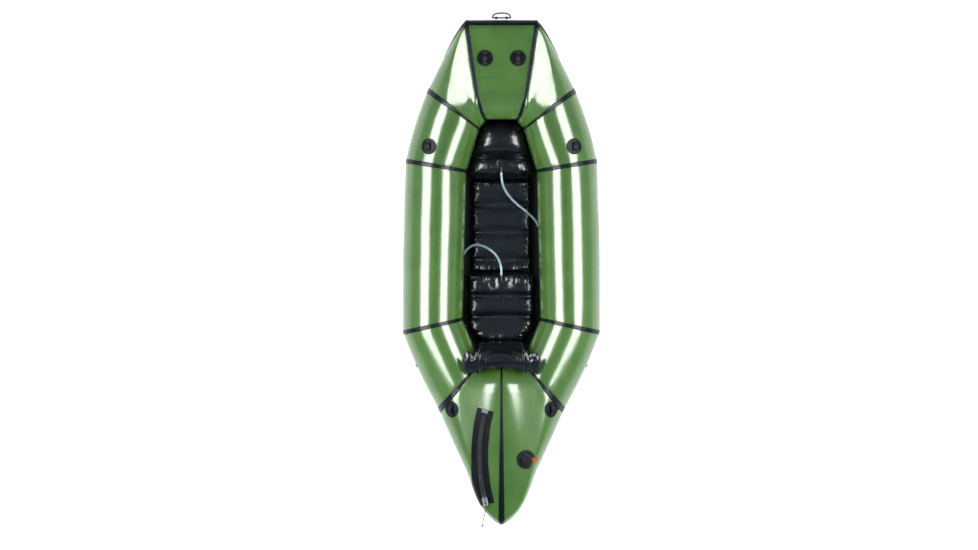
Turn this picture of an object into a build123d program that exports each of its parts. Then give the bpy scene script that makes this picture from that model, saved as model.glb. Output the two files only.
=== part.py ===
from build123d import *
import os
from math import acos, atan2, cos, degrees, pi, radians, sin, sqrt, tan

# One-person packraft. Millimetres. +Y is the bow, +X the right-hand side of someone looking down on
# it with the bow away from them, +Z up. The origin is on the underside of the floor, in the middle.

# ---- hull sizes
tube_diameter = 288
cockpit_length = 1151
cockpit_half_width = 184
bow_length = 468
stern_length = 766
bow_tip_radius = 40
stern_tip_radius = 36
fabric = 1.0
floor_fabric = 1.5

# ---- how far each part of the hull rises over the side tubes
quarter_rise = 24
bow_rise = 89
bow_tip_rise = 184
rear_rise = 14
stern_rise = 44
stern_tip_rise = 120
bow_seam_lean = 11
corner_drop = 6
corner_tip_drop = 8
corner_lean_share = 0.7
tail_drop = 2
tail_tip_drop = 4

# ---- where the seams stand
bow_panel_half_width = 70
bow_corner_setback = 18
quarter_setback = 42
quarter_half_width = 104
front_setback = 243
front_narrowing = 17
side_advance = 205
rear_half_width = 99.5
bow_heading = 80.4
corner_heading = 79
quarter_heading = 35.9
front_heading = 9.2
side_heading = -12.2
rear_heading = -48.3
panel_bulge = 9
side_bulge = 5.4
tail_half_width = 60
tail_setback = 44
tail_spread = 14
corner_spread = 14
corner_reach_extra = 4
seam_reach_extra = 2
quarter_reach_extra = 17
rear_reach_extra = 9

# ---- floor fabric: how far it turns up the side tubes, and how it clears the hull
floor_wrap = 72
ramp_clear = 3
edge_clear = 2
sheet_gap = 0.1
bow_fold_share = 0.47

# ---- tapes and patches
tape_width = 20
tape_gap = 0.3
tape_thickness = 1.2
patch_diameter = 76
patch_thickness = 1.8
webbing_width = 20
webbing_thickness = 1.6
loop_clear = 14
loop_span = 40
loop_foot = 11
bow_patch = (78, 287)
front_patch = (343, 128)
stern_patch = (236, 219)
tab_behind = 14
tab_height = 28
tab_width = 14
grab_loop_width = 92
grab_loop_reach = 17
grab_loop_diameter = 7
grab_anchor = 12
grab_play = 0.3
grab_standoff = 1
grab_taper = 0.8
grab_ear_share = 0.9
anchor_inset = 12.6
stub_length = 46
stub_width = 15
stub_overlap = 7

# ---- main valve
valve_x = 115
valve_behind = 456
valve_flange_diameter = 90
valve_bore = 40
valve_fit = 0.4
valve_depth = 26
valve_collar_diameter = 56
valve_collar_height = 5
cap_diameter = 46
cap_height = 12
cap_edge = 3
cap_plug_depth = 3.5
cap_grip = 1.5
cap_grips = 24
cap_grip_out = 0.6
cap_grip_start = 3
valve_wall = 4.5
valve_lip = 4
valve_floor = 2
valve_spider = 3.2
valve_spider_count = 4
valve_seat_depth = 5
plunger_travel = 5
plunger_disc = 3
plunger_gap = 1.5
plunger_stem = 3
plunger_stem_length = 6.5
plunger_button = 5
plunger_button_height = 1.5
plunger_play = 0.3
spring_radius = 8
spring_wire = 0.6
spring_turns = 5
tether_thickness = 1.5
tether_gap = 0.3
tether_width = 17
tether_length = 34
tether_corner = 6
tether_reach = 12
tether_clear = 1.2

# ---- cargo zip, along an arc seen from above
zip_radius = 880
zip_tape_width = 80
zip_chain_width = 22
zip_chain_height = 3
zip_bed_margin = 3
zip_bed = 6
zip_drop = 40
zip_stop_length = 8
zip_stop_height = 4
zip_stop_margin = 2
zip_slider_length = 26
zip_slider_height = 8
zip_slider_wall = 2.5
zip_slider_gap = 0.4
zip_slider_base = 0.6
bail_size = 12
bail_thickness = 4
bail_rise = 1
bail_pin_rise = 2.5
ring_wire = 3
ring_length = 24
ring_width = 16
ring_play = 0.4
zip_start_y = -646
zip_end_y = -1096
zip_deepest_x = -103
zip_deepest_y = -866

# ---- cushions
brace_height = 205
brace_rear_height = 148
brace_rear_lobe = 103
brace_front_base = 24
brace_base = 8
brace_front_round = 66
brace_rear_round = 50
brace_lobe_shift = 4
brace_lobe_overlap = 2
mat_height = 46
mat_corner = 26
mat_edge = 13.8
seat_height = 88
brace_depth = 275
mat_length = 446
mat_half_width = 146
seat_length = 330
seat_half_width = 165
seat_chamfer = 70
seat_chamfer_width = 53.2
seat_corner = 16
seat_edge = 25
backrest_thickness = 70
backrest_rise = 200
backrest_lean = 18
backrest_half_width = 104
backrest_ear_half_width = 174
backrest_ear_height = 46
ear_drop = 5
ear_share = 0.6
soft_gap = 3

# ---- elbow valves on the cushions, hoses and cord
elbow_base = 28
elbow_height = 15
elbow_barrel = 16
elbow_reach = 30
elbow_flange = 3
elbow_edge = 2
elbow_gap = 0.2
hose_diameter = 11
mouthpiece_diameter = 15
mouthpiece_length = 28
mouthpiece_edge = 1.5
nozzle_stem = 9
nozzle_lip = 12
nozzle_lip_height = 4
nozzle_length = 12
nozzle_play = 0.3
nozzle_gap = 1
nozzle_lip_gap = 0.5
cord_diameter = 3.2
knot_diameter = 9
knot_overlap = 0.52
knot_tail = 17.1

# ---- values that follow
tube_radius = tube_diameter / 2
tape_top = tape_gap + tape_thickness
floor_low = tape_top + tape_gap
floor_high = floor_low + floor_fabric
tube_height = tube_radius + floor_high
hull_length = cockpit_length + bow_length + stern_length
cockpit_front = hull_length / 2 - bow_length
cockpit_rear = -hull_length / 2 + stern_length
brace_rear = cockpit_front - brace_depth
mat_front = brace_rear - soft_gap
seat_front = mat_front - mat_length - soft_gap
seat_rear = seat_front - seat_length

os.makedirs("parts", exist_ok=True)


def save(piece, name):
    """Label one finished piece and write it as its own STEP file."""
    piece.label = name
    export_step(piece, f"parts/{name}.step")


def heading_vector(heading):
    return Vector(cos(radians(heading)), sin(radians(heading)))


# ================================================================== hull stations
# A station is one cross-section of the hull, standing on edge from an inner point beside the cockpit
# to an outer point: two circles, one at each end, wrapped by a pair of straight runs.
def station(inner, outer, heights, radii, lean=0):
    return dict(inner=Vector(*inner), outer=Vector(*outer), heights=heights, radii=radii, lean=lean)


def reach_station(inner, heading, reach, heights, radii, lean=0):
    outer = Vector(*inner) + heading_vector(heading) * reach
    return station(inner, (outer.X, outer.Y), heights, radii, lean)


def between(first, second, share, bulge=0):
    """The station part of the way from one to another, pushed outward where the fabric swells."""

    def mix(a, b):
        return a * (1 - share) + b * share

    inner = mix(first["inner"], second["inner"])
    outer = mix(first["outer"], second["outer"])
    outward = (outer - inner).normalized()
    outer = outer + outward * (bulge * 4 * share * (1 - share))
    heights = [mix(a, b) for a, b in zip(first["heights"], second["heights"])]
    radii = [mix(a, b) for a, b in zip(first["radii"], second["radii"])]
    return dict(inner=inner, outer=outer, heights=heights, radii=radii,
                lean=mix(first["lean"], second["lean"]))


def mirrored(one):
    flip = dict(one)
    flip["inner"] = Vector(-one["inner"].X, one["inner"].Y)
    flip["outer"] = Vector(-one["outer"].X, one["outer"].Y)
    flip["lean"] = -one["lean"]
    return flip


def station_plane(one):
    """Local x runs outward from the cockpit, local y runs up, from the inner circle's height."""
    along = (one["outer"] - one["inner"]).normalized()
    side = Vector(along.Y, -along.X, 0)
    lean = radians(one["lean"])
    up = Vector(0, 0, 1) * cos(lean) + side * sin(lean)
    return Plane(
        origin=(one["inner"].X, one["inner"].Y, one["heights"][0]),
        x_dir=along,
        z_dir=along.cross(up),
    )


def station_points(one, grow):
    """The six points of the outline in the station's own plane, its fabric grown by a distance."""
    reach = (one["outer"] - one["inner"]).length
    inner_radius, outer_radius = one["radii"]
    rise = (one["heights"][1] - one["heights"][0]) / cos(radians(one["lean"]))
    inner_centre = Vector(inner_radius, 0)
    outer_centre = Vector(reach - outer_radius, rise)
    span = outer_centre - inner_centre
    tilt = degrees(atan2(span.Y, span.X))
    turn = degrees(acos((inner_radius - outer_radius) / span.length))
    inner_radius, outer_radius = inner_radius + grow, outer_radius + grow
    top, bottom = heading_vector(tilt + turn), heading_vector(tilt - turn)
    ahead = heading_vector(tilt)
    return (
        inner_centre + top * inner_radius,
        outer_centre + top * outer_radius,
        outer_centre + ahead * outer_radius,
        outer_centre + bottom * outer_radius,
        inner_centre + bottom * inner_radius,
        inner_centre - ahead * inner_radius,
    )


def chamber(stations, grow=0.0):
    """The closed solid through a row of stations."""
    with BuildPart() as solid:
        for one in stations:
            top_in, top_out, tip, low_out, low_in, nose = station_points(one, grow)
            with BuildSketch(station_plane(one)):
                with BuildLine():
                    Line(top_in, top_out)
                    ThreePointArc(top_out, tip, low_out)
                    Line(low_out, low_in)
                    ThreePointArc(low_in, nose, top_in)
                make_face()
        loft(ruled=True)
    return solid.part


inner_y = dict(
    corner=cockpit_front - bow_corner_setback,
    quarter=cockpit_front - quarter_setback,
    front=cockpit_front - front_setback,
    side=cockpit_rear + side_advance,
)
tube_reach = tube_diameter + seam_reach_extra
tip_radii = (tube_radius, bow_tip_radius)
tube_radii = (tube_radius, tube_radius)

bow_seam = reach_station(
    (bow_panel_half_width, cockpit_front), bow_heading, bow_length / sin(radians(bow_heading)),
    (tube_height + bow_rise, tube_height + bow_tip_rise), tip_radii, bow_seam_lean)
corner = reach_station(
    (bow_panel_half_width + corner_spread, inner_y["corner"]), corner_heading, bow_length + corner_reach_extra,
    (tube_height + bow_rise - corner_drop, tube_height + bow_tip_rise - corner_tip_drop), tip_radii,
    bow_seam_lean * corner_lean_share)
quarter_seam = reach_station(
    (quarter_half_width, inner_y["quarter"]), quarter_heading, tube_diameter + quarter_reach_extra,
    (tube_height + quarter_rise, tube_height + quarter_rise), tube_radii)
front_seam = reach_station(
    (cockpit_half_width - front_narrowing, inner_y["front"]), front_heading, tube_reach,
    (tube_height, tube_height), tube_radii)
side_seam = reach_station(
    (cockpit_half_width, inner_y["side"]), side_heading, tube_reach,
    (tube_height, tube_height), tube_radii)
rear_seam = reach_station(
    (rear_half_width, cockpit_rear), rear_heading, tube_diameter + rear_reach_extra,
    (tube_height + rear_rise, tube_height + rear_rise), tube_radii)
stern_seam = station(
    (0, cockpit_rear), (0, -hull_length / 2),
    (tube_height + stern_rise, tube_height + stern_tip_rise), (tube_radius, stern_tip_radius))
tail = station(
    (tail_spread, cockpit_rear), (tail_half_width, -hull_length / 2 + tail_setback),
    (tube_height + stern_rise - tail_drop, tube_height + stern_tip_rise - tail_tip_drop),
    (tube_radius, stern_tip_radius))

right_panels = {
    "bow_quarter": [quarter_seam, between(quarter_seam, corner, 0.5, panel_bulge), corner, bow_seam],
    "front_panel": [front_seam, between(front_seam, quarter_seam, 0.5, panel_bulge), quarter_seam],
    "side_panel": [side_seam, between(side_seam, front_seam, 0.5, side_bulge), front_seam],
    "rear_panel": [rear_seam, between(rear_seam, side_seam, 0.5, panel_bulge), side_seam],
    "stern_panel": [stern_seam, tail, between(tail, rear_seam, 0.5, panel_bulge), rear_seam],
}
hull_panels = {"bow_centre_panel": [mirrored(bow_seam), bow_seam]}
for name, stations in right_panels.items():
    hull_panels[f"{name}_right"] = stations
    hull_panels[f"{name}_left"] = [mirrored(one) for one in stations]


def skin(panel_names, low, high):
    """The layer between two heights above the fabric of some neighbouring panels."""
    with BuildPart() as layer:
        for panel_name in panel_names:
            add(chamber(hull_panels[panel_name], high))
        for panel_name in panel_names:
            add(chamber(hull_panels[panel_name], low), mode=Mode.SUBTRACT)
    return layer.part


def top_point(solid, x, y):
    """The highest point of a solid above a place on the ground."""
    pole = Line((x, y, 0), (x, y, 3 * tube_diameter))
    ends = [end for edge in solid.intersect(pole).edges() for end in (edge @ 0, edge @ 1)]
    return max(ends, key=lambda end: end.Z)


def resting_plane(panel_name, x, y, step=12):
    """A plane lying on top of a hull panel, its x toward the bow and its z out of the fabric."""
    solid = chamber(hull_panels[panel_name])
    here = top_point(solid, x, y)
    ahead = top_point(solid, x, y + step) - top_point(solid, x, y - step)
    aside = top_point(solid, x + step, y) - top_point(solid, x - step, y)
    return Plane(origin=here, x_dir=ahead, z_dir=aside.cross(ahead))


def disc_on(panel_names, plane, diameter, low, high):
    """A round piece of sheet that follows the hull."""
    with BuildPart() as disc:
        with BuildSketch(plane):
            Circle(diameter / 2)
        extrude(amount=diameter / 2, both=True)
        add(skin(panel_names, low, high), mode=Mode.INTERSECT)
    return disc.part


# ================================================================== hull panels
valve_plane = resting_plane("stern_panel_right", valve_x, cockpit_rear - valve_behind)

for name, stations in hull_panels.items():
    with BuildPart() as panel:
        add(chamber(stations))
        add(chamber(stations, -fabric), mode=Mode.SUBTRACT)
        if name == "stern_panel_right":
            with BuildSketch(valve_plane):
                Circle(valve_bore / 2 + valve_fit)
            extrude(amount=valve_depth, both=True, mode=Mode.SUBTRACT)
    save(panel.part, name)


# ================================================================== seam tapes
def seam_tape(one, panel_names):
    """A strip round the hull, centred on the seam between two panels."""
    with BuildPart() as tape:
        with BuildSketch(station_plane(one)):
            Rectangle(4 * hull_length, 4 * tube_diameter)
        extrude(amount=tape_width / 2, both=True)
        add(skin(panel_names, tape_gap, tape_gap + tape_thickness), mode=Mode.INTERSECT)
    return tape.part


def sided(side, *names):
    return [name if name.startswith("bow_centre") else f"{name}_{side}" for name in names]


paired_seams = {
    "bow_seam_tapes": (bow_seam, ("bow_centre_panel", "bow_quarter")),
    "quarter_seam_tapes": (quarter_seam, ("bow_quarter", "front_panel")),
    "front_seam_tapes": (front_seam, ("front_panel", "side_panel")),
    "side_seam_tapes": (side_seam, ("side_panel", "rear_panel")),
    "rear_seam_tapes": (rear_seam, ("rear_panel", "stern_panel")),
}
for name, (one, panel_names) in paired_seams.items():
    with BuildPart() as tapes:
        add(seam_tape(one, sided("right", *panel_names)))
        mirror(about=Plane.YZ)
    save(tapes.part, name)

stern_tape = seam_tape(stern_seam, ["stern_panel_left", "stern_panel_right"])
save(stern_tape, "stern_seam_tape")


# ================================================================== floor fabric
def tube_middle(one):
    return (one["inner"] + one["outer"]) / 2


def floor_sheet(corners, ramp):
    """A sheet seen from above through some corners, its underside following a ramp (y, z)."""
    with BuildPart() as sheet:
        with BuildSketch(Plane.YZ):
            with BuildLine():
                Polyline(*ramp, *[(y, z + floor_fabric) for y, z in reversed(ramp)], close=True)
            make_face()
        extrude(amount=hull_length, both=True)
        with BuildSketch(Plane.XY):
            with BuildLine():
                Polyline(*corners, *[(-x, y) for x, y in reversed(corners)], close=True)
            make_face()
        extrude(amount=hull_length, mode=Mode.INTERSECT)
    return sheet.part


def floor_skin(panel_names, outline):
    """The part of the floor that follows the hull, kept inside an outline drawn from the side."""
    with BuildPart() as piece:
        with BuildSketch(Plane.YZ):
            with BuildLine():
                Polyline(*outline, close=True)
            make_face()
        extrude(amount=hull_length, both=True)
        add(skin(panel_names, floor_low, floor_high), mode=Mode.INTERSECT)
    return piece.part


front_middle, side_middle = tube_middle(front_seam), tube_middle(side_seam)
quarter_middle, rear_middle = tube_middle(quarter_seam), tube_middle(rear_seam)
bow_keel_y = cockpit_front + tube_radius
stern_keel_y = cockpit_rear - tube_radius

main_corners = [(side_middle.X - edge_clear, side_middle.Y), (front_middle.X - edge_clear, front_middle.Y)]
save(floor_sheet(main_corners, [(side_middle.Y, 0), (front_middle.Y, 0)]), "floor_main")

bow_corners = [
    (front_middle.X - edge_clear, front_middle.Y + sheet_gap),
    (quarter_middle.X - edge_clear, quarter_middle.Y),
    (bow_panel_half_width, bow_keel_y - 1),
]
bow_ramp = [
    (front_middle.Y, 0),
    (quarter_middle.Y, quarter_rise - ramp_clear),
    (bow_keel_y, bow_rise - ramp_clear),
]
bow_tip_y = hull_length / 2 - bow_tip_radius
bow_tip_z = tube_height + bow_tip_rise
bow_side = [
    (bow_keel_y, 0),
    (bow_keel_y, bow_rise + ramp_clear),
    (bow_tip_y + bow_tip_radius * bow_fold_share, bow_tip_z + bow_tip_radius),
    (bow_tip_y + bow_tip_radius * bow_fold_share, bow_tip_z + tube_diameter),
    (hull_length, bow_tip_z + tube_diameter),
    (hull_length, 0),
]
bow_names = ["bow_centre_panel", "bow_quarter_left", "bow_quarter_right"]
with BuildPart() as floor_bow:
    add(floor_sheet(bow_corners, bow_ramp))
    add(floor_skin(bow_names, bow_side))
save(floor_bow.part, "floor_bow")

stern_corners = [
    (side_middle.X - edge_clear, side_middle.Y - sheet_gap),
    (rear_middle.X - edge_clear, rear_middle.Y),
    (bow_panel_half_width, stern_keel_y + 1),
]
stern_ramp = [
    (side_middle.Y, 0),
    (min(seat_rear, side_middle.Y) - ramp_clear, 0),
    (rear_middle.Y, rear_rise - ramp_clear),
    (stern_keel_y, stern_rise - 3 * ramp_clear),
]
stern_tip_y = -hull_length / 2 + stern_tip_radius
stern_tip_z = tube_height + stern_tip_rise
stern_side = [
    (stern_keel_y, 0),
    (stern_keel_y, stern_rise - ramp_clear),
    (stern_tip_y - stern_tip_radius, stern_tip_z),
    (-hull_length, stern_tip_z),
    (-hull_length, 0),
]
with BuildPart() as floor_stern:
    add(floor_sheet(stern_corners, stern_ramp))
    add(floor_skin(["stern_panel_left", "stern_panel_right"], stern_side))
save(floor_stern.part, "floor_stern")

with BuildPart() as floor_sides:
    with BuildSketch(Plane.XY):
        with BuildLine():
            Polyline(
                (rear_middle.X, rear_middle.Y),
                (side_middle.X, side_middle.Y),
                (front_middle.X, front_middle.Y),
                (quarter_middle.X, quarter_middle.Y),
                (hull_length, quarter_middle.Y),
                (hull_length, rear_middle.Y),
                close=True,
            )
        make_face()
    extrude(amount=floor_wrap)
    side_names = ["front_panel_right", "side_panel_right", "rear_panel_right"]
    add(skin(side_names, floor_low, floor_high), mode=Mode.INTERSECT)
    mirror(about=Plane.YZ)
save(floor_sides.part, "floor_sides")


# ================================================================== tie-down patches and their webbing
def webbing_loop(plane):
    """A strap standing on a patch: two feet and an arch between them."""
    half, top = loop_span / 2, webbing_thickness
    end = half + loop_foot
    with BuildPart() as strap:
        with BuildSketch(Plane(origin=plane.origin, x_dir=plane.x_dir, z_dir=plane.y_dir * -1)):
            with BuildLine():
                Line((-end, 0), (-half, 0))
                ThreePointArc((-half, 0), (0, loop_clear), (half, 0))
                Polyline((half, 0), (end, 0), (end, top), (half + top, top))
                ThreePointArc((half + top, top), (0, loop_clear + top), (-half - top, top))
                Polyline((-half - top, top), (-end, top), (-end, 0))
            make_face()
        extrude(amount=webbing_width / 2, both=True)
    return strap.part


patch_top = tape_top + tape_gap + patch_thickness
patches = {
    "bow": (["bow_centre_panel"], bow_patch[0], cockpit_front + bow_patch[1]),
    "front": (["front_panel_right"], front_patch[0], cockpit_front - front_patch[1]),
    "stern": (["stern_panel_right", "rear_panel_right"], stern_patch[0], cockpit_rear - stern_patch[1]),
}
for place, (panel_names, x, y) in patches.items():
    plane = resting_plane(panel_names[0], x, y)
    with BuildPart() as pair:
        add(disc_on(panel_names, plane, patch_diameter, tape_top + tape_gap, patch_top))
        mirror(about=Plane.YZ)
    save(pair.part, f"{place}_patches")
    with BuildPart() as loops:
        add(webbing_loop(plane.offset(patch_top)))
        mirror(about=Plane.YZ)
    save(loops.part, f"{place}_webbing_loops")
    print(place, "loop middle", plane.origin + plane.z_dir * (patch_top + loop_clear / 2), plane.z_dir)

# a loose strap end under the right-hand stern loop, and a tab on each outer edge
stern_plane = resting_plane("stern_panel_right", stern_patch[0], cockpit_rear - stern_patch[1])
with BuildPart() as strap_stub:
    with BuildSketch(stern_plane.offset(patch_top + webbing_thickness / 2)):
        with Locations((0, -stub_length / 2 + stub_overlap)):
            Rectangle(stub_width, stub_length)
    extrude(amount=webbing_thickness)
save(strap_stub.part, "loose_strap_end")

tab_inner = cockpit_half_width + tube_radius / 2
with BuildPart() as side_tabs:
    with BuildSketch(Plane.XY.offset(tube_height)):
        with Locations(((tab_inner + hull_length) / 2, cockpit_rear - tab_behind)):
            Rectangle(hull_length - tab_inner, tab_width)
    extrude(amount=tab_height / 2, both=True)
    add(skin(["rear_panel_right"], tape_gap, tape_gap + 2 * webbing_thickness), mode=Mode.INTERSECT)
    mirror(about=Plane.YZ)
save(side_tabs.part, "side_tabs")

# ================================================================== bow grab loop
# The cord loop swings on a pin through two ears of one bracket on the turned-up floor edge.
grab_pin_y = hull_length / 2 + floor_high + grab_anchor / 2 + grab_standoff
grab_pin_z = bow_tip_z
half_loop = grab_loop_width / 2 - grab_loop_diameter / 2
with BuildPart() as grab_anchors:
    with BuildSketch(Plane.YZ):
        with Locations((grab_pin_y, grab_pin_z)):
            Circle(grab_anchor / 2)
        with Locations((grab_pin_y - grab_anchor / 4, grab_pin_z)):
            Rectangle(grab_anchor / 2, grab_anchor)
    extrude(amount=half_loop - anchor_inset, both=True)
    with BuildSketch(Plane.YZ):
        with Locations((grab_pin_y, grab_pin_z)):
            Circle(grab_loop_diameter / 2 + grab_play)
    extrude(amount=half_loop, both=True, mode=Mode.SUBTRACT)
    with BuildSketch(Plane.XY.offset(grab_pin_z)):
        Rectangle(half_loop * grab_ear_share, 4 * hull_length)
    extrude(amount=grab_anchor, both=True, mode=Mode.SUBTRACT)
save(grab_anchors.part, "grab_loop_anchors")

with BuildPart() as grab_loop:
    with BuildLine() as loop_path:
        FilletPolyline(
            (half_loop, grab_pin_y, grab_pin_z),
            (half_loop * grab_taper, grab_pin_y + grab_loop_reach, grab_pin_z),
            (-half_loop * grab_taper, grab_pin_y + grab_loop_reach, grab_pin_z),
            (-half_loop, grab_pin_y, grab_pin_z),
            close=True,
            radius=grab_loop_diameter,
        )
    path = loop_path.wires()[0]
    with BuildSketch(Plane(origin=path @ 0, z_dir=path % 0)):
        Circle(grab_loop_diameter / 2)
    sweep(path=path)
save(grab_loop.part, "bow_grab_loop")
print("grab pin", grab_pin_y, grab_pin_z)


# ================================================================== main inflation valve
flange_top = tape_gap + patch_thickness
body_radius = valve_bore / 2
bore_radius = body_radius - valve_wall
seat_radius = bore_radius - valve_lip
disc_radius = bore_radius - plunger_gap
collar_base = flange_top + tape_gap
collar_top = collar_base + valve_collar_height
stern_right = ["stern_panel_right"]

with BuildPart() as valve_flange:
    add(disc_on(stern_right, valve_plane, valve_flange_diameter, tape_gap, flange_top))
    with BuildSketch(valve_plane):
        Circle(body_radius + valve_fit)
    extrude(amount=valve_depth, both=True, mode=Mode.SUBTRACT)
save(valve_flange.part, "valve_flange")

# half sections, x outward from the valve's axis and y up it
valve_section = Plane(origin=valve_plane.origin, x_dir=valve_plane.x_dir, z_dir=valve_plane.y_dir * -1)
valve_axis = Axis(valve_plane.origin, valve_plane.z_dir)
seat_low = collar_base - valve_seat_depth
valve_base = -valve_depth
with BuildPart() as valve_body:
    with BuildSketch(valve_section):
        with BuildLine():
            Polyline(
                (seat_radius, seat_low + valve_floor), (bore_radius, seat_low + valve_floor),
                (bore_radius, collar_top), (valve_collar_diameter / 2, collar_top),
                (valve_collar_diameter / 2, collar_base), (body_radius, collar_base),
                (body_radius, valve_base), (valve_lip, valve_base),
                (valve_lip, valve_base + valve_floor), (bore_radius, valve_base + valve_floor),
                (bore_radius, seat_low), (seat_radius, seat_low), close=True)
        make_face()
    revolve(axis=valve_axis)
    with BuildSketch(valve_plane.offset(valve_base)):
        with PolarLocations((valve_lip + bore_radius) / 2, valve_spider_count):
            Circle(valve_spider)
    extrude(amount=2 * valve_floor, mode=Mode.SUBTRACT)
save(valve_body.part, "valve_body")

disc_top = seat_low - plunger_play
with BuildPart() as valve_plunger:
    with BuildSketch(valve_plane.offset(disc_top - plunger_disc)):
        Circle(disc_radius)
    extrude(amount=plunger_disc)
    with BuildSketch(valve_plane.offset(disc_top)):
        Circle(plunger_stem)
    extrude(amount=plunger_stem_length)
    with BuildSketch(valve_plane.offset(disc_top + plunger_stem_length)):
        Circle(plunger_button)
    extrude(amount=plunger_button_height)
save(valve_plunger.part, "valve_plunger")

spring_base = valve_base + valve_floor + plunger_travel + spring_wire
spring_top = disc_top - plunger_disc - spring_wire - sheet_gap
with BuildPart() as valve_spring:
    spring_length = spring_top - spring_base
    with BuildLine() as coil:
        Helix(pitch=spring_length / spring_turns, height=spring_length, radius=spring_radius)
    with BuildSketch(Plane(origin=coil.line @ 0, z_dir=coil.line % 0)):
        Circle(spring_wire)
    sweep(path=coil.line, is_frenet=True)
spring_solid = valve_plane.offset(spring_base).location * valve_spring.part
save(spring_solid, "plunger_spring")

tether_base = collar_top + tether_gap
with BuildPart() as cap_tether:
    with BuildSketch(valve_plane.offset(tether_base)):
        Circle(valve_collar_diameter / 2)
        with Locations((0, -(valve_collar_diameter / 2 + tether_reach))):
            RectangleRounded(tether_width, tether_length, tether_corner)
        Circle(bore_radius + tether_clear, mode=Mode.SUBTRACT)
    extrude(amount=tether_thickness)
save(cap_tether.part, "cap_tether")

cap_base = tether_base + tether_thickness + tether_gap
with BuildPart() as valve_cap:
    with BuildSketch(valve_plane.offset(cap_base)):
        Circle(cap_diameter / 2)
    extrude(amount=cap_height)
    fillet(valve_cap.faces().sort_by(valve_axis)[-1].edges(), cap_edge)
    with BuildSketch(valve_plane.offset(cap_base - cap_plug_depth)):
        Circle(bore_radius - valve_fit)
    extrude(amount=cap_plug_depth)
    with BuildSketch(valve_plane.offset(cap_base + cap_grip_start)):
        with PolarLocations(cap_diameter / 2 + cap_grip_out, cap_grips):
            Circle(cap_grip)
    extrude(amount=cap_height, mode=Mode.SUBTRACT)
save(valve_cap.part, "valve_cap")
print("valve origin and axis", valve_plane.origin, valve_plane.z_dir)


# ================================================================== cargo zip on the left stern panel
stern_left = ["stern_panel_left"]
stern_left_solid = chamber(hull_panels["stern_panel_left"])


def zip_x(y, shift=0.0):
    """Where the zip runs, seen from above, at a distance behind the middle of the hull."""
    return zip_deepest_x + zip_radius - sqrt((zip_radius - shift) ** 2 - (y - zip_deepest_y) ** 2)


zip_points = [top_point(stern_left_solid, zip_x(y), y) for y in (zip_start_y, zip_deepest_y, zip_end_y)]
zip_normal = (zip_points[0] - zip_points[2]).cross(zip_points[1] - zip_points[2]).normalized()
if zip_normal.Z < 0:
    zip_normal = zip_normal * -1
zip_lift = tape_gap + patch_thickness + zip_bed
with BuildLine() as zip_arc:
    ThreePointArc(*[point + zip_normal * zip_lift for point in zip_points])
arc_centre = zip_arc.edge().arc_center
arc_radius = zip_arc.edge().radius
arc_degrees = degrees(zip_arc.edge().length / arc_radius)
zip_axis = Axis(arc_centre, zip_normal)
start_way = (zip_points[0] + zip_normal * zip_lift - arc_centre).normalized()
end_way = (zip_points[2] + zip_normal * zip_lift - arc_centre).normalized()
sense = 1 if end_way.cross(start_way).dot(zip_normal) > 0 else -1
print("zip hinge centre", arc_centre, "axis", zip_normal * sense, "radius", arc_radius, "arc", arc_degrees)


def along_zip(way, turned=0.0):
    """A plane on the chain's underside: x along the radius, y up, z along the zip."""
    direction = Vector(way).rotate(Axis((0, 0, 0), zip_normal * sense), turned)
    return Plane(
        origin=arc_centre + direction * arc_radius, x_dir=direction, z_dir=direction.cross(zip_normal))


def zip_band(width, low, high, start=0.0, length=None):
    """A strip of the zip, start and length in degrees from the stern end."""
    length = arc_degrees - start if length is None else length
    with BuildPart() as band:
        with BuildSketch(along_zip(end_way, start)):
            with Locations((0, (low + high) / 2)):
                Rectangle(width, high - low)
        revolve(axis=Axis(arc_centre, zip_normal * sense), revolution_arc=length)
    return band.part


with BuildPart() as zip_base:
    add(zip_band(zip_tape_width, -zip_drop, zip_drop))
    add(skin(stern_left, tape_gap, tape_gap + patch_thickness), mode=Mode.INTERSECT)
save(zip_base.part, "zip_base")

with BuildPart() as zip_bed_strip:
    add(zip_band(zip_chain_width + 2 * zip_bed_margin, -3 * zip_bed, 0))
    add(chamber(hull_panels["stern_panel_left"], tape_gap + patch_thickness), mode=Mode.SUBTRACT)
save(zip_bed_strip.part, "zip_bed")

with BuildPart() as zip_chain:
    add(zip_band(zip_chain_width, 0, zip_chain_height))
save(zip_chain.part, "zip_chain")

end_arc = degrees(zip_stop_length / arc_radius)
with BuildPart() as zip_stops:
    stop_high = zip_chain_height + zip_stop_height
    lower_width = zip_chain_width + 2 * zip_stop_margin
    upper_width = zip_chain_width + 4 * zip_stop_margin
    add(zip_band(lower_width, zip_chain_height, stop_high, 0, end_arc))
    add(zip_band(upper_width, zip_chain_height, stop_high, arc_degrees - 2 * end_arc, 2 * end_arc))
save(zip_stops.part, "zip_stops")

slider_arc = degrees(zip_slider_length / arc_radius)
slider_from = end_arc * 1.3
slider_low = zip_chain_height + zip_slider_gap
slider_high = zip_chain_height + zip_slider_height
with BuildPart() as zip_slider:
    slider_width = zip_chain_width + 2 * zip_slider_wall
    tunnel_width = zip_chain_width + 2 * zip_slider_gap
    add(zip_band(slider_width, zip_slider_base, slider_high, slider_from, slider_arc))
    add(zip_band(tunnel_width, -zip_slider_base, slider_low, slider_from, slider_arc), mode=Mode.SUBTRACT)
    bail = along_zip(end_way, slider_from + slider_arc / 2)
    bail_side = Plane(origin=bail.origin, x_dir=bail.z_dir, z_dir=bail.x_dir * -1)
    with BuildSketch(bail_side):
        with Locations((0, slider_high + bail_rise)):
            Rectangle(bail_size, bail_size)
    extrude(amount=bail_thickness / 2, both=True)
    with BuildSketch(bail_side):
        with Locations((0, slider_high + bail_pin_rise)):
            Circle(ring_wire / 2 + ring_play)
    extrude(amount=bail_thickness, both=True, mode=Mode.SUBTRACT)
save(zip_slider.part, "zip_slider")
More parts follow.
